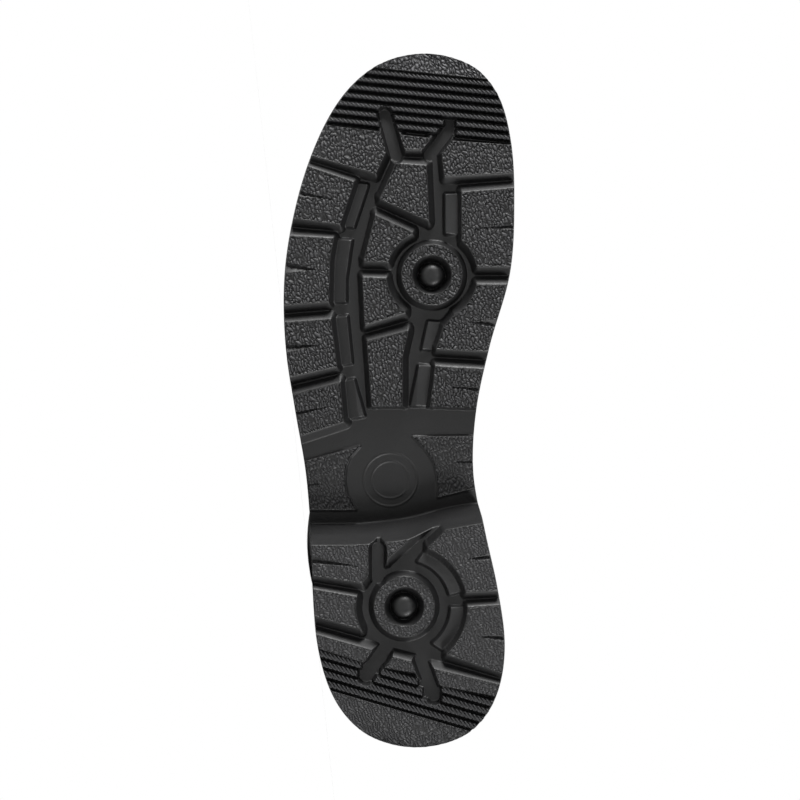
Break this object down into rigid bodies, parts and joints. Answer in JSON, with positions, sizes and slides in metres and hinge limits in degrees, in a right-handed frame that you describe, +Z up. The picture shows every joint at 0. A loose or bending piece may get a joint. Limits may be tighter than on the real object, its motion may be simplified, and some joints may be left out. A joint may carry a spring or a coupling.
{
  "type": "sea boot",
  "caption": "Pull-on rubber sea boot for the right foot, hollow shaft and foot, with a lugged moulded sole that has a heel, arch, ribs and round studs.",
  "frame": {"origin": "centre of the bounding box on the floor that the boot lies on, on its outer side", "axes": "+Z up from the floor towards the boot's inner side, -X towards the toe, -Y the way the tread faces, +Y towards the collar"},
  "size_m": [0.3004, 0.291, 0.1075],
  "materials": {
    "sole_rubber": "black moulded rubber, satin, grained lugs",
    "upper_rubber": "black rubber, satin",
    "footbed": "grey felt, matte"
  },
  "bodies": {
    "root": {"outsole": "sole_rubber", "upper": "upper_rubber", "insole": "footbed"}
  },
  "joints": []
}
